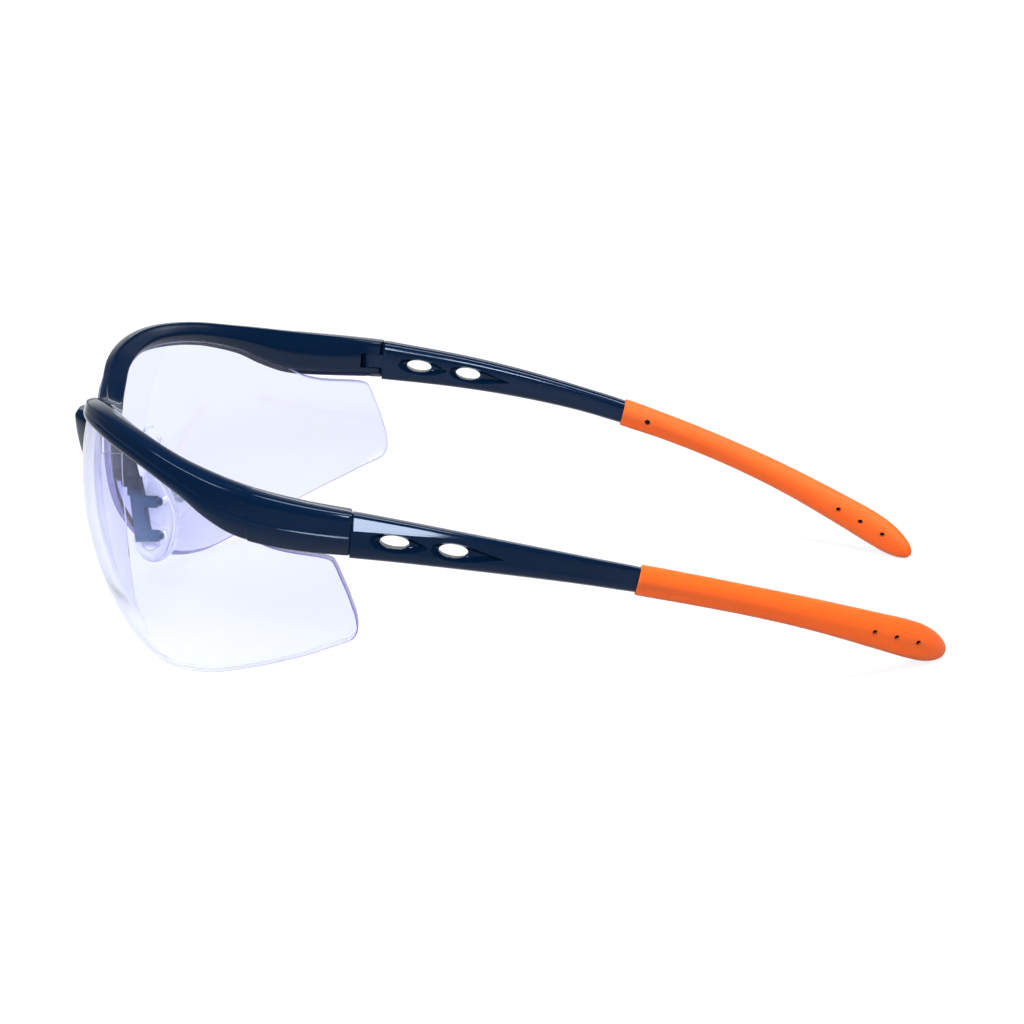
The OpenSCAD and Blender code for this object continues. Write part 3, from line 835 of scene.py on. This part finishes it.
def lens_outline(v, outward):
    """Outline of a lens seen along its axis: under the brow, down beside the nose and round.

    With outward it is that much larger all round.
    """
    knots = brow_knots(v)
    seat = [
        (v.middle, v.groove), (60, v.groove), (66, 1.3), (70, -0.1), (74, -0.75), (80, -0.9),
        (84, -1), (90, -1.3),
    ]
    line = []
    for a in steps_between(*TOP_EDGE_SPAN, 42):
        z = v.hinge_height + smooth(knots.low, a) - v.centre.z
        level = math.cos(math.asin(z / v.lens_radius))
        x = v.lens_radius * math.sin(math.radians(a) - v.axis) * level
        line.append(Vector((x, z + smooth(seat, a))))
    line += curve(NASAL_EDGE, 9) + curve(LOWER_EDGE, 9) + curve(TEMPLE_CORNER, 5)
    line += curve(TEMPLE_EDGE, 4)
    points = []
    for p in line:
        if not points or (p - points[-1]).length > 0.15:
            points.append(p)
    moved = []
    for i, p in enumerate(points):
        along = points[(i + 1) % len(points)] - points[i - 1]
        moved.append(p - Vector((-along.y, along.x)).normalized() * outward)
    return moved


def seen_from_front(v, p):
    """Where a point of the lens outline lies in the front view."""
    deep = math.sqrt(v.lens_radius**2 - p[0] ** 2 - p[1] ** 2)
    x = v.centre.x + p[0] * math.cos(v.axis) + deep * math.sin(v.axis)
    return Vector((x, v.centre.z + p[1]))


RIM_SWEEP = 100


def nasal_rim(v):
    """The clear rim that turns back from the lens beside the nose, with a rounded rear edge."""
    edge = [seen_from_front(v, p) for p in curve(NASAL_EDGE[:6], 8)]
    inside = v.lens_radius - v.lens_wall / 2
    walls = [(0.06, back) for back in (0, 0.6, 1)] + [(v.rim_wall, back) for back in (1, 0.6, 0)]
    rings = []
    for i, point in enumerate(edge):
        along = edge[min(i + 1, len(edge) - 1)] - edge[max(i - 1, 0)]
        inward = Vector((-along.y, along.x)).normalized()
        height = point.y - v.centre.z
        rear = v.lens_front + v.rim_depth + RIM_SWEEP - math.sqrt(RIM_SWEEP**2 - height**2)
        section = []
        for sideways, back in walls:
            q = point + inward * sideways
            flat = Vector((q.x - v.centre.x, q.y - v.centre.z))
            front = v.centre.y - math.sqrt(max(1.0, inside**2 - flat.length_squared))
            section.append((q.x, front + (max(rear, front + 0.3) - front) * back, q.y))
        rings.append(section)
    return loft(rings)


def reader_swell(v, x, y):
    """How far the lens's back swells in at the reading segment, a straight edge over a bow."""
    seen = seen_from_front(v, (x, y)) - v.reader_centre
    down = -2 * seen.y / v.reader_height
    half = v.reader_width / 2 * (1 - ((1 + down) / 2) ** 2 / 2)
    aside = seen.x / half
    if abs(down) > 1 or abs(aside) > 1:
        return 0
    return v.reader_wall * (1 - aside**2) ** 2 * (1 - down**2) ** 2


LENS_EDGE_ROUND = 0.18
SURFACE_SKIN = 0.015


def lens_shape(v):
    """One lens with its nasal rim and reading segment, as one clear moulding.

    Its faces are marked for the three lens finishes: surface, front corner and cut edge.
    """
    radius = LENS_EDGE_ROUND

    def place(x, y, depth):
        swell = reader_swell(v, x, y) if depth == v.lens_wall else 0
        return on_lens(v, x, y, depth + swell)

    bm = plate(lens_outline(v, -radius), rounded(radius, v.lens_wall), place, cell=0.9)
    bm = combine(bm, [nasal_rim(v)], "UNION")
    upright = v.lens_frame.inverted()
    for face in bm.faces:
        depths = [v.lens_radius - (upright @ corner.co).length for corner in face.verts]
        shallow, deep = min(depths), max(depths)
        face.material_index = 0
        if SURFACE_SKIN < deep < 1.5 * radius:
            face.material_index = 1
        elif deep < v.lens_wall + 0.02 and SURFACE_SKIN < shallow < v.lens_wall - SURFACE_SKIN:
            face.material_index = 2
    return bm


# Temples and tips


BEND_START = 12
BEND_RADIUS = 152
TEMPLE_SLOPE = 8
TEMPLE_DROP = 17.4


def temple_x(v, y):
    """Centre line of a temple from above, straight at first and then bent inwards."""
    bend = max(0, y - BEND_START) ** 2 / (2 * BEND_RADIUS)
    return v.bar_x - (v.bar_in - v.bar_out) / 2 - bend


def temple_z(v, y):
    """Centre line of a temple from the side, sloping and then bent down to the ear."""
    drop = TEMPLE_DROP * (max(0, y) / v.temple_length) ** 2.3
    return v.hinge_height - 0.1 - math.tan(math.radians(TEMPLE_SLOPE)) * y - drop


def temple_wall(v, y):
    """Thickness of a temple from side to side."""
    wide = v.bar_wall
    return smooth([(-4, wide), (0, wide), (10, 4.2), (22, 3.6), (40, 3.2), (54, 3.1)], y)


def tip_slant(v, y):
    """How far the rings lean near the tip's front edge, which is square to the temple's slope."""
    near = max(0, 1 - abs(y - v.tip_start) / 10)
    return 0.24 * near * near * (3 - 2 * near)


FACET_TILT = 24


def temple_ring(v, y):
    """One ring round a temple: a flat-sided oval with a facet along its upper outer edge."""
    h = v.bar_height
    heights = [(-4, h), (0, h), (8, 8.2), (19, 7.4), (28, 6.7), (39, 5.9), (50, 5.2), (54, 4.9)]
    height = smooth(heights, y)
    t = temple_wall(v, y) / 2
    facet = smooth([(-4, 0.56), (0, 0.56), (12, 0.32), (22, 0.07), (30, 0.04), (54, 0.04)], y)
    low = 0.86 - facet
    top = t - 0.06 - math.tan(math.radians(FACET_TILT)) * facet * height / 2
    slope = [(t - 0.06 + (top - t + 0.06) * k, low + facet * k) for k in (0, 0.25, 0.75, 1)]
    profile = [
        (0, -1), (t - 1.1, -0.97), (t - 0.35, -0.8), (t, -0.5), (t, -0.1), (t, low - 0.1), *slope,
        (top - 0.35, 0.96), (top - 0.9, 1), (-t + 1.0, 0.96),
        (-t + 0.3, 0.78), (-t, 0.45), (-t, -0.45), (-t + 0.3, -0.78), (-t + 1.0, -0.95),
    ]
    slant = tip_slant(v, y)
    points = []
    for x, z in profile:
        up = z * height / 2
        points.append((temple_x(v, y) + x, y + slant * up, temple_z(v, y) + up))
    return curve(points, v.steps, closed=True)


def oval(v, y, wide, high, count, drop=0.0):
    """An upright oval ring round a temple's centre line, or drop under it."""
    x, z = temple_x(v, y), temple_z(v, y) - drop
    turns = [math.tau * k / count for k in range(count)]
    return [(x + wide * math.sin(a), y, z - high * math.cos(a)) for a in turns]


CORE_SHORT = 5
CORE_HALF = (1.15, 1.75)
CORE_TALLER = 0.2


def core_shape(v, grow, start):
    """The temple's core inside the soft tip."""
    wide, high = CORE_HALF
    rings = []
    for k, y in enumerate(steps_between(start, v.temple_length - CORE_SHORT + grow, 24)):
        rings.append(oval(v, y, wide + grow, high + CORE_TALLER * k / 24 + grow, 24))
    return loft(rings)


def across(v, y, radius, inner, outer):
    """A round bar sideways through a temple at y, between two offsets from its centre line."""
    place = Matrix.Translation((temple_x(v, y), y, temple_z(v, y)))
    return placed(rod(radius, inner, outer), place @ turned(90, "Y"))


VENT_Y = 8.2
VENT_STEP = 11
VENT_SIZE = (5.5, 2.7)
VENT_DROP = 0.1
SCOOPS = (
    [(-4.6, 0), (-3.5, 1.15), (-0.5, 1.7), (3, 1.35), (5, 0.65), (6.2, 0)],
    [(-4.1, 0), (-3.2, 1.15), (0, 1.75), (3.5, 1.35), (6.5, 0.65), (9.4, 0)],
)
SCOOP_WALLS = ((-1.4, 0.5), (-1.2, 0.7), (-0.65, 0.9), (0, 1.05), (0.25, 1.14), (2, 1.2))


def vent_tools(v):
    """Two oval holes through the temple, each in a scoop that tapers to a point behind it."""
    long, high = VENT_SIZE
    tools = []
    for k, knots in enumerate(SCOOPS):
        y = VENT_Y + k * VENT_STEP
        bar = rod(1, -REACH, REACH, 64)
        bmesh.ops.scale(bar, vec=(high / 2, long / 2, 1), verts=bar.verts[:])
        place = Matrix.Translation((v.bar_x, y, temple_z(v, y) - VENT_DROP))
        tools.append(placed(bar, place @ (turned(-TEMPLE_SLOPE - k, "X") @ turned(90, "Y"))))
        top = curve(knots, 6)
        outline = top + [Vector((p.x, -p.y)) for p in reversed(top[1:-1])]
        for face in (1, -1):
            rings = []
            for rise, spread in SCOOP_WALLS:
                ring = []
                for p in outline:
                    along = y + p.x * (spread if p.x < 0 else 0.5 + spread / 2)
                    z = temple_z(v, along) - VENT_DROP + p.y * spread
                    depth = temple_wall(v, along) / 2 + rise
                    ring.append((temple_x(v, along) + face * depth, along, z))
                rings.append(ring)
            tools.append(loft(rings))
    return tools


def temple_shape(v):
    """A temple arm with its vents, the hinge tongue and the core for the soft tip."""
    bm = loft([temple_ring(v, y) for y in steps_between(-3, v.tip_start, 76)])
    cut_at_joint(bm, v, 1)
    bm = combine(bm, vent_tools(v))
    half = TONGUE_HEIGHT / 2
    root = block((-TONGUE_ROUND, 0, -half), (TONGUE_ROUND, PIN_BACK + 1, half))
    tongue = combine(rod(TONGUE_ROUND, -half, half), [root], "UNION")
    bm = combine(bm, [placed(tongue, v.hinge), core_shape(v, 0, v.tip_start - 0.5)], "UNION")
    return combine(bm, [placed(rod(PIN_BORE, -REACH, REACH), v.hinge)])


TIP_GAP = 0.02
TIP_NOSE = 0.11
CORE_GAP = 0.04
WINDOWS = 3
WINDOW_FIRST = 6.3
WINDOW_STEP = 4.6
WINDOW_RADIUS = 0.55
FRONT_WINDOW = (5.5, 0.65)


def tip_shape(v):
    """A soft tip: a sleeve over the core, with round windows through which the core shows."""
    wide = [(0, 2.2), (0.13, 2.25), (0.42, 2.4), (0.74, 2.8), (1, 2.6)]
    high = [
        (0, 2.95), (0.13, 3.05), (0.37, 3.05), (0.58, 3.3), (0.77, 3.75), (0.88, 3.95), (1, 3.3),
    ]
    drop = [(0, 0), (0.5, 0), (0.8, 0.35), (1, 0.35)]
    shares = [0.0, 0.003] + steps_between(0.012, 1 - TIP_NOSE, 54)
    shares += [1 - TIP_NOSE * (1 - k / 16) ** 2 for k in range(1, 17)]
    rings = []
    for u in shares:
        y = v.tip_start + TIP_GAP + (v.temple_length - v.tip_start - TIP_GAP) * u
        beyond = max(0, (u - 1 + TIP_NOSE) / TIP_NOSE)
        end = math.sqrt(max(0.0004, 1 - beyond**2.6)) if u else 0.95
        ring = oval(v, y, smooth(wide, u) * end, smooth(high, u) * end, 48, smooth(drop, u))
        lean = tip_slant(v, y)
        rings.append([(px, py + lean * (pz - temple_z(v, y)), pz) for px, py, pz in ring])
    windows = []
    for k in range(WINDOWS):
        y = v.temple_length - WINDOW_FIRST - k * WINDOW_STEP
        windows.append(across(v, y, WINDOW_RADIUS, -5, 5))
    place, radius = FRONT_WINDOW
    windows.append(across(v, v.tip_start + place, radius, -5, 0))
    return combine(loft(rings), [core_shape(v, CORE_GAP, v.tip_start - 1), *windows])


SHADE_REACH = 3.4
SHADE_DROP = 0.12
SHADE_SPREAD = 0.34


def shade_core(piece, v):
    """Marks how strongly the core shows through the soft tip."""
    mesh = piece.data
    shade = mesh.attributes.new("core_shadow", "FLOAT", "POINT")
    for i, vert in enumerate(mesh.vertices):
        y = vert.co.y / MM + v.shift
        up = (vert.co.z / MM - temple_z(v, y)) / SHADE_REACH
        along = (y - v.tip_start) / (v.temple_length - v.tip_start)
        band = math.exp(-((up + SHADE_DROP) / SHADE_SPREAD) ** 2)
        fade = smooth([(0, 0.75), (0.15, 0.6), (0.5, 0.35), (0.8, 0.3), (0.9, 0.4), (1, 0)], along)
        shade.data[i].value = max(0, band * fade)


# Nose pads


PAD_STUDS = ((1.9, 1.4), (2.2, -5.5))
PAD_BOSS = (3.4, -2.2)
PAD_VIEW = (12.2, 24.6)
STUD_COLLAR = (1.65, 0.6, 1.45)
BOSS_COLLAR = (1.5, 0.6, 1.42)
STUD_HOLE = (0.95, -0.25, 3)
BOSS_HOLE = (1, 1.2, 3)


def pad_shape(v):
    """A soft pad: a drop-shaped cushion, crowned on the nose side, with a lip round its back.

    Its view is drawn PAD_VIEW wide and long, and scaled to the pad's sizes.
    """
    view = [
        (-4.4, 13.2), (-2.8, 13.2), (-1.6, 11), (1.6, 6), (5, 0.9), (5.9, -3.2), (4.7, -7.9),
        (2.4, -10.2), (-0.2, -11.1), (-2.9, -10.9), (-5, -9.2), (-5.7, -7), (-5, -2),
        (-3.8, 2.5), (-3.7, 6.5), (-4.9, 11),
    ]
    outline = curve(view, 6, closed=True)
    middle = Vector((0, 0.6))
    half = v.pad_wall / 2
    wide, long = PAD_VIEW
    rows = [
        (-1, 0.05), (-1, 0.3), (-0.98, 0.5), (-0.92, 0.68), (-0.8, 0.84), (-0.55, 0.94),
        (-0.2, 0.99), (0.15, 1), (0.5, 0.98), (0.8, 0.93), (0.95, 0.87), (1, 0.82),
        (0.97, 0.77), (0.84, 0.72), (0.8, 0.5), (0.8, 0.05),
    ]
    rings = []
    for depth, share in rows:
        ring = []
        for p in outline:
            q = middle + (p - middle) * share
            ring.append((depth * half, q.x * v.pad_width / wide, q.y * v.pad_length / long))
        rings.append(ring)
    bm = loft(rings)

    def rods(stud, boss):
        bars = []
        for size, (y, z) in ((stud, PAD_STUDS[0]), (stud, PAD_STUDS[1]), (boss, PAD_BOSS)):
            place = Matrix.Translation((0, y, z)) @ turned(90, "Y")
            bars.append(placed(rod(*size), place))
        return bars

    bm = combine(bm, rods(STUD_COLLAR, BOSS_COLLAR), "UNION")
    bm = combine(bm, rods(STUD_HOLE, BOSS_HOLE))
    return placed(bm, v.pad_frame)


# Stage


ROOM_LIGHT = 0.55
ROOM_ON_GLOSS = 0.1
ROOM_TINT = (0.9, 0.93, 1, 1)
ROOM_STRIP = (-0.65, -0.97)
WHITE = (1, 1, 1, 1)


def shown_white(tree, off_gloss):
    """1 for rays from the camera or through clear pieces, and off_gloss for rays off a gloss."""
    ray = add(tree, "LightPath").outputs
    clear = combined(tree, "MAXIMUM", ray["Is Camera Ray"], ray["Is Transmission Ray"])
    gloss = combined(tree, "MULTIPLY", ray["Is Glossy Ray"], off_gloss)
    return combined(tree, "MAXIMUM", clear, gloss)


def make_world():
    """White where it is seen, a plain light, and dim in reflections except behind the glasses."""
    world = bpy.data.worlds.new("Studio")
    bpy.context.scene.world = world
    tree = emptied(world)
    _, way = split_place(tree, "Generated")
    seen = shown_white(tree, faded(tree, way["X"], *ROOM_STRIP))
    gloss = add(tree, "LightPath").outputs["Is Glossy Ray"]
    strength = combined(tree, "MULTIPLY_ADD", gloss, ROOM_ON_GLOSS - ROOM_LIGHT, ROOM_LIGHT)
    light = add(tree, "Background", Color=ROOM_TINT, Strength=strength)
    white = add(tree, "Background", Color=WHITE)
    mix = add(tree, "MixShader", seen, light.outputs[0], white.outputs[0])
    add(tree, "OutputWorld", Surface=mix.outputs[0])


FLOOR_HALF = 3
FLOOR_GLOW = 0.74
GLOW_NEAR = 0.1
GLOW_FAR = 0.9
GLOW_BESIDE = (0.24, 0.12)
GLOW_BEHIND = (0.2, 0.05)


def make_floor():
    """A floor that looks white, and in reflections glows only under and behind the glasses."""
    bm = bmesh.new()
    bmesh.ops.create_grid(bm, x_segments=1, y_segments=1, size=FLOOR_HALF)
    floor = mesh_object("floor", bm)
    material = bpy.data.materials.new("Floor")
    tree = emptied(material)
    place, where = split_place(tree, "Object")
    beside = faded(tree, combined(tree, "ABSOLUTE", where["Y"]), *GLOW_BESIDE)
    behind = faded(tree, where["X"], *GLOW_BEHIND)
    seen = shown_white(tree, combined(tree, "MULTIPLY", beside, behind))
    reach = tree.nodes.new("ShaderNodeVectorMath")
    reach.operation = "LENGTH"
    away = wire(reach, place).outputs["Value"]
    rise = add(tree, "MapRange", away, GLOW_NEAR, GLOW_FAR, FLOOR_GLOW, 1).outputs["Result"]
    matte = add(tree, "BsdfDiffuse", Color=(*colours().floor, 1))
    glow = add(tree, "Emission", Strength=combined(tree, "MULTIPLY", seen, rise))
    both = add(tree, "AddShader", matte.outputs[0], glow.outputs[0])
    add(tree, "OutputMaterial", Surface=both.outputs[0])
    floor.data.materials.append(material)


LAMP_TINT = (0.87, 0.92, 1)


def aim(piece, place, look):
    """Puts a lamp or camera at a place, looking along a direction."""
    piece.location = place
    piece.rotation_euler = look.to_track_quat("-Z", "Y").to_euler()


def lamp(name, place, target, size, watts):
    """A soft rectangular lamp that faces a point."""
    data = bpy.data.lights.new(name, "AREA")
    data.shape = "RECTANGLE"
    data.size, data.size_y = size
    data.energy = watts
    data.color = LAMP_TINT
    aim(shown(name, data), place, Vector(target) - Vector(place))


def make_lamps():
    lamp("top_lamp", (0.1, 0.0, 0.9), (0, 0, 0.03), (0.46, 0.24), 7)
    lamp("front_lamp", (0.85, 0.0, 0.48), (0, 0, 0.03), (0.24, 0.22), 7.5)
    lamp("side_lamp", (0.3, -0.75, 0.5), (0, -0.05, 0.03), (0.5, 0.12), 3)
    lamp("back_lamp", (-0.8, 0.1, 0.45), (0, 0, 0.03), (0.6, 0.06), 0.6)


CAMERA_AT = (0.6979, 0.0072, 0.2217)
CAMERA_TILT = 16.1
CAMERA_TURN = 0.44
CAMERA_LENS = 123.05


def make_camera():
    data = bpy.data.cameras.new("camera")
    data.lens = CAMERA_LENS
    data.clip_start = 0.01
    camera = shown("camera", data)
    tilt, turn = math.radians(CAMERA_TILT), math.radians(CAMERA_TURN)
    level = -math.cos(tilt)
    look = Vector((level * math.cos(turn), level * math.sin(turn), -math.sin(tilt)))
    aim(camera, CAMERA_AT, look)
    bpy.context.scene.camera = camera


# Operators and panel


class GLASSES_OT_stage(bpy.types.Operator):
    """Build the floor, the lamps, the world and the camera"""

    bl_idname = "glasses.stage"
    bl_label = "Stage"

    def execute(self, context):
        make_world()
        make_floor()
        make_lamps()
        make_camera()
        context.scene.view_settings.view_transform = "Standard"
        return {"FINISHED"}


class GLASSES_OT_front(bpy.types.Operator):
    """Build the front frame: brow, nose shield and post, with the lens grooves and hinge slots"""

    bl_idname = "glasses.front"
    bl_label = "Front frame"

    def execute(self, context):
        v = layout()
        shape = to_frame(front_shape(v), v)
        finish = [gloss_plastic()]
        make_piece("brow_frame", shape, finish, "front", ["front_frame"])
        return {"FINISHED"}


class GLASSES_OT_lenses(bpy.types.Operator):
    """Build both lenses with their nasal rims and reading segments"""

    bl_idname = "glasses.lenses"
    bl_label = "Lenses"

    def execute(self, context):
        v = layout()
        make_pair(lens_shape(v), v, "lens", "clear_{}", lens_finishes())
        return {"FINISHED"}


class GLASSES_OT_nose(bpy.types.Operator):
    """Finish the pad carrier and build the two soft nose pads"""

    bl_idname = "glasses.nose"
    bl_label = "Nose piece"

    def execute(self, context):
        v = layout()
        # The carrier's lower arms get painted haze, a lighter tone for how they look through the
        # pads
        dress("pad_carrier", gloss_plastic("Carrier plastic", colours().arms))
        shape, finish = pad_shape(v), [silicone()]
        for pad in make_pair(shape, v, "nose_pad", "soft_{}", finish):
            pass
        return {"FINISHED"}


class GLASSES_OT_temples(bpy.types.Operator):
    """Build the two temples with their vents, hinge tongues and cores"""

    bl_idname = "glasses.temples"
    bl_label = "Temples"

    def execute(self, context):
        v = layout()
        shape, finish = temple_shape(v), [gloss_plastic()]
        make_pair(shape, v, "temple", "{}_arm", finish, "{}_temple")
        return {"FINISHED"}


class GLASSES_OT_tips(bpy.types.Operator):
    """Build the two soft temple tips"""

    bl_idname = "glasses.tips"
    bl_label = "Soft tips"

    def execute(self, context):
        v = layout()
        shape, finish = tip_shape(v), [soft_orange()]
        for tip in make_pair(shape, v, "temple_tip", "soft_{}", finish, "{}_temple"):
            shade_core(tip, v)
        return {"FINISHED"}


class GLASSES_OT_pins(bpy.types.Operator):
    """Finish the hinge pins"""

    bl_idname = "glasses.pins"
    bl_label = "Hinge pins"

    def execute(self, context):
        finish = pin_steel()
        for node in ("hinge_pin_left", "hinge_pin_right"):
            dress(node, finish)
        return {"FINISHED"}


class GLASSES_PT_panel(bpy.types.Panel):
    """Lists the parts of the glasses and their sizes and colours"""

    bl_idname = "GLASSES_PT_panel"
    bl_label = "Safety reading glasses"
    bl_space_type = "VIEW_3D"
    bl_region_type = "UI"
    bl_category = "Glasses"

    def draw(self, context):
        for operator in OPERATORS:
            self.layout.operator(operator.bl_idname)
        for group in (context.scene.glasses_sizes, context.scene.glasses_colours):
            box = self.layout.box()
            for name in type(group).__annotations__:
                box.prop(group, name)


OPERATORS = (
    GLASSES_OT_stage,
    GLASSES_OT_front,
    GLASSES_OT_lenses,
    GLASSES_OT_nose,
    GLASSES_OT_temples,
    GLASSES_OT_tips,
    GLASSES_OT_pins,
)
CLASSES = (GlassesSizes, GlassesColours, *OPERATORS, GLASSES_PT_panel)


def register():
    for made in CLASSES:
        bpy.utils.register_class(made)
    bpy.types.Scene.glasses_sizes = PointerProperty(type=GlassesSizes)
    bpy.types.Scene.glasses_colours = PointerProperty(type=GlassesColours)


def unregister():
    del bpy.types.Scene.glasses_sizes
    del bpy.types.Scene.glasses_colours
    for made in reversed(CLASSES):
        bpy.utils.unregister_class(made)


def main():
    register()
    bpy.ops.glasses.stage()
    bpy.ops.glasses.front()
    bpy.ops.glasses.lenses()
    bpy.ops.glasses.nose()
    bpy.ops.glasses.temples()
    bpy.ops.glasses.tips()
    bpy.ops.glasses.pins()


if __name__ == "__main__":
    main()
